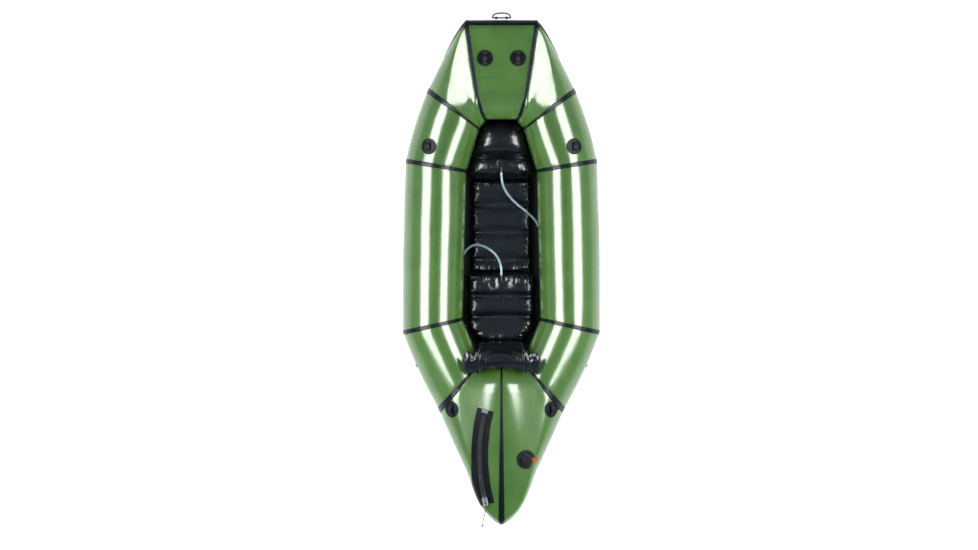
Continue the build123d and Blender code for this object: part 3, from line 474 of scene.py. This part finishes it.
def fixNormals(mesh):
    work = bmesh.new()
    work.from_mesh(mesh)
    bmesh.ops.recalc_face_normals(work, faces=work.faces)
    work.to_mesh(mesh)
    work.free()


hullPoints, hullFaces = [], []
for name, panel in allPanels.items():
    rows = max(8, int(panel.length / hull["rows"]))
    around = columns(panel.narrow)
    skin = panel.surface(np.linspace(0, 1, rows + 1), around)
    faces = gridFaces(rows + 1, len(around), True)
    mesh = meshFrom(name + "Skin", skin.reshape(-1, 3), faces)
    fixNormals(mesh)
    finishPiece(name + "Skin", mesh, hullNylon, "hull", [name])
    hullFaces += gridFaces(rows + 1, len(around), True, len(hullPoints))
    hullPoints += [Vector(p) for p in skin.reshape(-1, 3)]
hullTree = BVHTree.FromPolygons(hullPoints, hullFaces)
print("hull panels made", len(hullPoints))


# seam tapes, bent over each seam
tape = dict(
    half=0.0100, thick=0.0022, tuck=-0.0006,
    profile=((-1, -0.5), (-0.97, 1), (-0.5, 1), (0, 1), (0.5, 1), (0.97, 1), (1, -0.5)))
seams = dict(
    bow_seam_tapes=("bow_centre_panel", 1, "bow_quarter", 1),
    quarter_seam_tapes=("bow_quarter", 0, "front_panel", 1),
    front_seam_tapes=("front_panel", 0, "side_panel", 1),
    side_seam_tapes=("side_panel", 0, "rear_panel", 1),
    rear_seam_tapes=("rear_panel", 0, "stern_panel", 1))


def tapeGrid(first, firstEnd, second, secondEnd):
    dense = columns(first.narrow or second.narrow)
    rows = []
    for across, high in tape["profile"]:
        panel, end = (first, firstEnd) if across <= 0 else (second, secondEnd)
        inset = abs(across) * tape["half"] / panel.length
        lift = tape["thick"] if high > 0 else tape["tuck"]
        rows.append(panel.surface([inset if end == 0 else 1 - inset], dense, lift)[0])
    return np.array(rows)


def tapePiece(name, grids, node):
    points, faces = [], []
    for grid in grids:
        faces += gridFaces(grid.shape[0], grid.shape[1], True, len(points))
        points += list(grid.reshape(-1, 3))
    mesh = meshFrom(name, points, faces)
    fixNormals(mesh)
    return finishPiece(name, mesh, tapeNylon, "hull", [node])


for node, (first, firstEnd, second, secondEnd) in seams.items():
    grids = []
    for side in ("right", "left"):
        one = allPanels["bow_centre_panel"] if first == "bow_centre_panel" else allPanels[f"{first}_{side}"]
        end = firstEnd if first != "bow_centre_panel" or side == "right" else 0
        grids.append(tapeGrid(one, end, allPanels[f"{second}_{side}"], secondEnd))
    tapePiece(node + "Strip", grids, node)
tapePiece("sternSeamTapeStrip", [tapeGrid(allPanels["stern_panel_right"], 0, allPanels["stern_panel_left"], 0)],
          "stern_seam_tape")
print("seam tapes made")


# cushions: rows crowd towards the ends, and folds die away from the welded rim
quilt = dict(crowd=0.92, foldReach=0.022, foldRamp=1.6, foldLong=9, foldFine=85)


def cushionMesh(name, spec):
    across = np.sin(np.linspace(-1, 1, spec["columns"]) * math.pi / 2)
    along = np.sin(np.linspace(-1, 1, spec["rows"]) * math.pi / 2 * quilt["crowd"])
    along = (1 + along / math.sin(math.pi / 2 * quilt["crowd"])) / 2
    long, fine, reach = quilt["foldLong"], quilt["foldFine"], quilt["foldReach"]
    y = spec["rear"] + (spec["front"] - spec["rear"]) * along
    points, index = [], {}
    halfWidths = np.array([spec["halfWidth"](one) for one in y])
    for r in range(len(y)):
        for c in range(len(across)):
            x = across[c] * halfWidths[r]
            edge = max(0.0, 1 - abs(across[c]) ** spec["sideRound"]) ** 0.5
            edge *= max(0.0, 1 - abs(2 * along[r] - 1) ** spec["endRound"]) ** 0.5
            rim = r in (0, len(y) - 1) or c in (0, len(across) - 1)
            middle = spec["seam"](y[r])
            top = middle + (spec["top"](x, y[r]) - middle) * edge
            sideGap = halfWidths[r] * (1 - abs(across[c]))
            endGap = min(y[r] - y[0], y[-1] - y[r])
            fold = noise.noise(Vector((x * long, y[r] * fine, 1.7))) * math.exp(-sideGap / reach)
            fold += noise.noise(Vector((x * fine, y[r] * long, 4.2))) * math.exp(-endGap / reach)
            top += fold * spec["pucker"] * min(1, edge * quilt["foldRamp"])
            if rim:
                index[r, c, 1] = index[r, c, 0] = len(points)
                points.append((x, y[r], middle))
            else:
                index[r, c, 1] = len(points)
                points.append((x, y[r], top))
                index[r, c, 0] = len(points)
                points.append((x, y[r], middle + (spec["bottom"](y[r]) - middle) * edge))
    faces = []
    for layer in (0, 1):
        for r in range(len(y) - 1):
            for c in range(len(across) - 1):
                corners = [index[r, c, layer], index[r, c + 1, layer], index[r + 1, c + 1, layer],
                           index[r + 1, c, layer]]
                faces.append(corners if layer else corners[::-1])
    return meshFrom(name, points, faces)


# air pressure, in frames of simulation; each point then moves no further than its piece's cap
press = dict(frames=16, quality=5, mass=0.3, stretch=40, shear=10, bend=0.3)


def inflate(piece, spec):
    subdivided = piece.modifiers.new("smooth", "SUBSURF")
    subdivided.levels = subdivided.render_levels = 1
    mesh = piece.data
    start = np.array([v.co[:] for v in mesh.vertices])
    held = piece.vertex_groups.new(name="held")
    held.add([i for i, p in enumerate(start) if spec["holds"](p)], 1.0, "REPLACE")
    cloth = piece.modifiers.new("cloth", "CLOTH")
    bpy.context.view_layer.objects.active = piece
    settings = cloth.settings
    settings.quality = press["quality"]
    settings.mass = press["mass"]
    settings.tension_stiffness = press["stretch"]
    settings.compression_stiffness = press["stretch"]
    settings.shear_stiffness = press["shear"]
    settings.bending_stiffness = press["bend"]
    settings.use_pressure = True
    settings.uniform_pressure_force = spec["pressure"]
    settings.shrink_min = -spec["spare"]
    settings.vertex_group_mass = "held"
    settings.effector_weights.gravity = 0
    cloth.collision_settings.use_collision = False
    while piece.modifiers[0] != cloth:
        bpy.ops.object.modifier_move_up(modifier="cloth")
    subdivided.show_viewport = False
    scene = bpy.context.scene
    for number in range(1, press["frames"] + 1):
        scene.frame_set(number)
    shaped = piece.evaluated_get(bpy.context.evaluated_depsgraph_get()).to_mesh()
    moved = np.array([v.co[:] for v in shaped.vertices]) - start
    piece.modifiers.remove(cloth)
    piece.vertex_groups.remove(held)
    subdivided.show_viewport = True
    scene.frame_set(1)
    far = np.linalg.norm(moved, axis=1, keepdims=True)
    moved *= np.minimum(1, spec["cap"] / np.maximum(far, 1e-9))
    mesh.vertices.foreach_set("co", (start + moved).ravel())
    mesh.update()
    stopped = round(float((far > spec["cap"]).mean()) * 100)
    print(piece.name, "inflated, furthest", round(float(far.max()) * 1000, 1), "mm before the cap, which stopped",
          stopped, "% of its points")


def valleys(x, y, halfWidth, places, wide, narrow, depth):
    low = 0
    share = min(1, abs(x) / halfWidth)
    reach = wide + (narrow - wide) * share ** 2
    for place in places:
        low = max(low, math.exp(-((y - place) / reach) ** 2))
    return low * depth * (0.55 + 0.45 * share)


matBox, seatBox, braceBox, backBox = (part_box(n) for n in ("floor_mat", "seat_cushion", "foot_brace", "backrest"))
mat = dict(
    front=matBox[1].y - 0.001, rear=matBox[0].y + 0.001, rows=124, columns=54, sideRound=15, endRound=22,
    places=(0.322, 0.192, 0.061), pucker=0.012, pressure=4.0, spare=0.02, cap=0.006,
    halfWidth=lambda y: 0.144 - 0.003 * math.sin(y * 46) ** 2,
    seam=lambda y: 0.018,
    top=lambda x, y: 0.0465 - valleys(x, y, 0.141, mat["places"], 0.030, 0.006, 0.017),
    bottom=lambda y: 0.0028,
    holds=lambda p: p[2] < 0.017 and abs(p[0]) < 0.12)
seat = dict(
    front=seatBox[1].y - 0.001, rear=seatBox[0].y + 0.001, rows=104, columns=58, sideRound=11, endRound=16,
    places=(-0.111, -0.208), pucker=0.016, pressure=4.0, spare=0.02, cap=0.007,
    halfWidth=lambda y: 0.162 - max(0, -0.262 - y) * 0.95 - max(0, y + 0.022) * 0.8,
    seam=lambda y: 0.040,
    top=lambda x, y: 0.0865 - valleys(x, y, 0.162, seat["places"], 0.020, 0.009, 0.021),
    bottom=lambda y: 0.0030,
    holds=lambda p: (p[2] < 0.038 and abs(p[0]) < 0.14) or (abs(p[0]) < 0.018 and p[1] > -0.075))


def braceTop(x, y):
    front = 1 - abs((y - 0.6345) / 0.092) ** 2.4
    rear = 1 - abs((y - 0.505) / 0.0575) ** 2.2
    frontTop = 0.085 + 0.118 * max(0, front) ** 0.5
    rearTop = 0.062 + 0.084 * max(0, rear) ** 0.5
    return max(frontTop, rearTop) - 0.003


brace = dict(
    front=braceBox[1].y - 0.001, rear=braceBox[0].y + 0.001, rows=84, columns=50, sideRound=4, endRound=14,
    pucker=0.012, pressure=4.0, spare=0.02, cap=0.008,
    halfWidth=lambda y: np.interp(y, [0.45, 0.50, 0.6825, 0.7215], [0.162, 0.153, 0.098, 0.074]) - 0.002,
    seam=lambda y: np.interp(y, [0.45, 0.55, 0.60, 0.72], [0.078, 0.078, 0.112, 0.112]),
    top=braceTop,
    bottom=lambda y: np.interp(y, [0.45, 0.50, 0.55, 0.60, 0.72], [0.012, 0.009, 0.02, 0.03, 0.04]),
    holds=lambda p: p[2] < 0.07 and abs(p[0]) < 0.12 or (abs(p[0]) < 0.016 and abs(p[1] - 0.49) < 0.03))

for name, spec, node in (("floorMat", mat, "floor_mat"), ("seatCushion", seat, "seat_cushion"),
                         ("footBrace", brace, "foot_brace")):
    piece = finishPiece(name, cushionMesh(name, spec), cushionNylon, "hull", [node])
    inflate(piece, spec)

back = dict(
    hinge=(-0.356924, 0.1278), lean=math.radians(18), rise=0.200, half=0.0335, rows=150, around=84,
    crowd=0.97, thinnest=0.02, core=0.100, neck=0.106,
    ear=0.184, earLow=0.199, earHigh=0.235, earHalf=0.056, gather=0.131,
    pressure=3.0, spare=0.03, cap=0.006, holds=lambda p: abs(abs(p[0]) - 0.131) < 0.003)


def backrestMesh():
    ends = math.sin(math.pi / 2 * back["crowd"])
    x = back["ear"] * np.sin(np.linspace(-1, 1, back["rows"]) * math.pi / 2 * back["crowd"]) / ends
    up = np.array([0, -math.sin(back["lean"]), math.cos(back["lean"])])
    out = np.array([0, math.cos(back["lean"]), math.sin(back["lean"])])
    origin = np.array([0, *back["hinge"]])
    points = []
    for one in x:
        share = min(1, max(0, (abs(one) - back["core"]) / (back["neck"] - back["core"])))
        share = share * share * (3 - 2 * share)
        low = -back["half"] * (1 - share) + back["earLow"] * share
        high = (back["rise"] + back["half"]) * (1 - share) + back["earHigh"] * share
        half = back["half"] * (1 - share) + back["earHalf"] * share
        tip = max(0.0, 1 - ((abs(one) - back["neck"]) / (back["ear"] - back["neck"])) ** 6) if share >= 1 else 1
        gather = math.exp(-((abs(one) - back["gather"]) / 0.011) ** 2)
        beyond = min(1, max(0, (abs(one) - back["gather"] + 0.01) / 0.02))
        for k in range(back["around"]):
            angle = 2 * math.pi * k / back["around"]
            length = (high - low) / 2 * (1 - 0.12 * gather)
            flat = 1 - gather * 0.28
            squeeze = max(tip ** 0.5, back["thinnest"])
            tall = math.copysign(abs(math.cos(angle)) ** (half / length) ** 0.45, math.cos(angle))
            s = (high + low) / 2 + length * tall * squeeze
            t = half * math.copysign(abs(math.sin(angle)) ** 0.75, math.sin(angle)) * squeeze * flat
            place = origin + up * s + out * t + np.array([one, 0, 0])
            folds = noise.noise(Vector((one * 10, s * 42, t * 42))) * (0.0015 + 0.006 * gather)
            roll = max(0, (s - 0.10) / 0.13) if share < 1 else 0
            place = place + out * t * min(1, roll) * (1 - share) * 0.6
            crumple = noise.noise(Vector(place) * 34) * (0.0020 + 0.006 * beyond) * max(tip, 0.05)
            points.append(place + out * (folds + crumple) * math.copysign(1, math.sin(angle) + 1e-6)
                          * min(1, abs(math.sin(angle)) * 2) - up * (abs(folds) * 0.6))
    faces = gridFaces(len(x), back["around"], True)
    faces.append(list(range(back["around"]))[::-1])
    faces.append([(len(x) - 1) * back["around"] + k for k in range(back["around"])])
    mesh = meshFrom("backrestBolster", points, faces)
    fixNormals(mesh)
    return mesh


piece = finishPiece("backrestBolster", backrestMesh(), cushionNylon, "backrest", ["backrest"])
inflate(piece, back)
print("cushions made")

# cloth and webbing glued over the hull
cadPoints, cadFaces = [], []
for name in allPanels:
    mesh = nodes[name].data
    cadFaces += [[len(cadPoints) + i for i in face.vertices] for face in mesh.polygons]
    cadPoints += [v.co.copy() for v in mesh.vertices]
cadTree = BVHTree.FromPolygons(cadPoints, cadFaces)
carry = dict(furthest=0.06, above=0.02, depth=0.04)
copied = dict(weld=2e-5, swayGrain=24, sharp=math.radians(38))


def carried(place):
    near, normal, _, gap = cadTree.find_nearest(place)
    if gap > carry["furthest"]:
        return place
    if (place - near).dot(normal) < 0:
        normal = -normal
    hit = hullTree.ray_cast(near + normal * carry["above"], -normal, carry["depth"])[0]
    return place + normal * (hit - near).dot(normal) if hit else place


def cutCopy(node, cell, ripple, onHull):
    grain = copied["swayGrain"]
    work = bmesh.new()
    work.from_mesh(nodes[node].data)
    bmesh.ops.remove_doubles(work, verts=work.verts, dist=copied["weld"])
    low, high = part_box(node)
    for axis in range(3):
        normal = Vector((0, 0, 0))
        normal[axis] = 1
        count = int((high[axis] - low[axis]) / cell)
        for step in range(1, count + 1):
            place = Vector((0, 0, 0))
            place[axis] = low[axis] + (high[axis] - low[axis]) * step / (count + 1)
            everything = work.verts[:] + work.edges[:] + work.faces[:]
            bmesh.ops.bisect_plane(work, geom=everything, dist=1e-5, plane_co=place, plane_no=normal)
    bmesh.ops.triangulate(work, faces=[f for f in work.faces if len(f.verts) > 4])
    for v in work.verts:
        place = carried(v.co.copy()) if onHull else v.co.copy()
        sway = Vector((noise.noise(place * grain), noise.noise(place * grain + Vector((9, 0, 0))),
                       noise.noise(place * grain + Vector((0, 9, 0)))))
        v.co = place + sway * ripple
    bmesh.ops.recalc_face_normals(work, faces=work.faces)
    mesh = bpy.data.meshes.new(node + "Cloth")
    work.to_mesh(mesh)
    work.free()
    return mesh


def creased(piece):
    work = bmesh.new()
    work.from_mesh(piece.data)
    for edge in work.edges:
        edge.smooth = len(edge.link_faces) != 2 or edge.calc_face_angle(0) < copied["sharp"]
    work.to_mesh(piece.data)
    work.free()


softCopies = {
    "floor_main": (floorNylon, 0.030, 0.0012, False), "floor_bow": (floorNylon, 0.020, 0.0006, True),
    "floor_stern": (floorNylon, 0.020, 0.0006, True), "floor_sides": (floorNylon, 0.015, 0.0006, True),
    "bow_patches": (patchUrethane, 0.004, 0.0002, True), "front_patches": (patchUrethane, 0.004, 0.0002, True),
    "stern_patches": (patchUrethane, 0.004, 0.0002, True),
    "bow_webbing_loops": (webbingPolyester, 0.003, 0.0006, True),
    "front_webbing_loops": (webbingPolyester, 0.003, 0.0006, True),
    "stern_webbing_loops": (webbingPolyester, 0.003, 0.0006, True),
    "loose_strap_end": (webbingPolyester, 0.003, 0.0010, True), "side_tabs": (webbingPolyester, 0.003, 0.0008, True),
    "zip_base": (floorNylon, 0.006, 0.0003, True)}
for node, (material, cell, ripple, onHull) in softCopies.items():
    piece = finishPiece(node + "Cloth", cutCopy(node, cell, ripple, onHull), material, "hull", [node])
    creased(piece)
print("cloth pieces made")

# moulded and metal parts kept from the frame
dress(["valve_flange", "valve_body", "valve_plunger", "valve_cap", "brace_elbow_valve", "seat_elbow_valve",
       "brace_mouthpiece", "seat_mouthpiece", "zip_bed", "grab_loop_anchors", "brace_nozzle", "seat_nozzle"],
      blackMoulding)
dress(["cap_tether"], tetherUrethane)
dress(["zip_chain"], zipTeeth)
dress(["zip_slider", "zip_pull_ring", "zip_stops"], platedZinc)
dress(["plunger_spring"], springWire)
dress(["pull_cord_knot"], cordPolyester)

# the bow loop: a straight length in its bracket and an arch of braided cord
grab = dict(half=0.0425, pinY=1.2028, pinZ=0.3313, reach=0.0225, radius=0.0033, steps=96, around=14,
            strandDepth=0.07, strands=3, twist=0.9)


def grabLoopMesh():
    up = Vector((0, 0, 1))
    path = []
    for k in range(grab["steps"]):
        angle = 2 * math.pi * k / grab["steps"]
        x = grab["half"] * math.copysign(abs(math.cos(angle)) ** 0.8, math.cos(angle))
        y = grab["reach"] * max(0, math.sin(angle)) ** 0.8
        path.append(Vector((x, grab["pinY"] + y, grab["pinZ"])))
    points = []
    for k, here in enumerate(path):
        way = (path[(k + 1) % len(path)] - path[k - 1]).normalized()
        aside = way.cross(up).normalized()
        for j in range(grab["around"]):
            angle = 2 * math.pi * j / grab["around"]
            strand = 1 + grab["strandDepth"] * math.sin(angle * grab["strands"] + k * grab["twist"])
            points.append(here + (aside * math.cos(angle) + up * math.sin(angle)) * grab["radius"] * strand)
    around = grab["around"]
    faces = gridFaces(len(path), around, True)
    last = (len(path) - 1) * around
    faces += [(last + j, last + (j + 1) % around, (j + 1) % around, j) for j in range(around)]
    mesh = meshFrom("bowGrabLoop", points, faces)
    fixNormals(mesh)
    return mesh


finishPiece("bowGrabLoop", grabLoopMesh(), cordPolyester, "grab_loop", ["bow_grab_loop"])

# lights and ground
light = dict(reach=1.70, height=2.45, width=1.50, length=2.4, forward=0.30, aim=0.3, gloss=16.0, fill=6.4)


def softBox(name, side, radiance, gloss):
    lamp = bpy.data.lights.new(name, "AREA")
    lamp.shape = "RECTANGLE"
    lamp.size = light["width"]
    lamp.size_y = light["length"]
    lamp.energy = radiance * math.pi * light["width"] * light["length"]
    body = bpy.data.objects.new(name, lamp)
    body.location = (side * light["reach"], light["forward"] if gloss else 0, light["height"])
    body.rotation_euler = (0, side * math.atan2(light["reach"] - light["aim"], light["height"] - light["aim"]), 0)
    body.visible_camera = False
    body.visible_glossy = gloss
    body.visible_diffuse = not gloss
    body.visible_transmission = not gloss
    bpy.context.scene.collection.objects.link(body)


for side in (-1, 1):
    softBox("softBoxSheen", side, light["gloss"], True)
    softBox("softBoxFill", side, light["fill"], False)

# the room is dark overhead and pale toward the horizon
world = bpy.data.worlds.new("studio")
bpy.context.scene.world = world
world.use_nodes = True
sky = world.node_tree
skyWhere = addNode(sky, "ShaderNodeTexCoord")
skyParts = addNode(sky, "ShaderNodeSeparateXYZ", links={"Vector": skyWhere.outputs["Generated"]})
skyRamp = addNode(sky, "ShaderNodeValToRGB", links={"Fac": skyParts.outputs["Z"]})
skyRamp.color_ramp.elements[0].position = 0.25
skyRamp.color_ramp.elements[0].color = toLinear("#B4C2CE")
skyRamp.color_ramp.elements[1].position = 0.9
skyRamp.color_ramp.elements[1].color = toLinear("#4A6478")
sky.links.new(skyRamp.outputs["Color"], sky.nodes["Background"].inputs["Color"])
sky.nodes["Background"].inputs["Strength"].default_value = 1.0

bpy.context.scene.view_settings.view_transform = "Standard"

floor = dict(half=9, z=-0.001)
corners = [(x * floor["half"], y * floor["half"], floor["z"]) for x, y in ((-1, -1), (1, -1), (1, 1), (-1, 1))]
ground = bpy.data.meshes.new("ground")
ground.from_pydata(corners, [], [(0, 1, 2, 3)])
paper, paperTree, paperShader = startMaterial("matteWhitePaint", {
    "Base Color": (0.85, 0.85, 0.85, 1), "Roughness": 0.9, "Emission Color": (1, 1, 1, 1), "Emission Strength": 0.7})
ground.materials.append(paper)
groundBody = bpy.data.objects.new("ground", ground)
bpy.context.scene.collection.objects.link(groundBody)
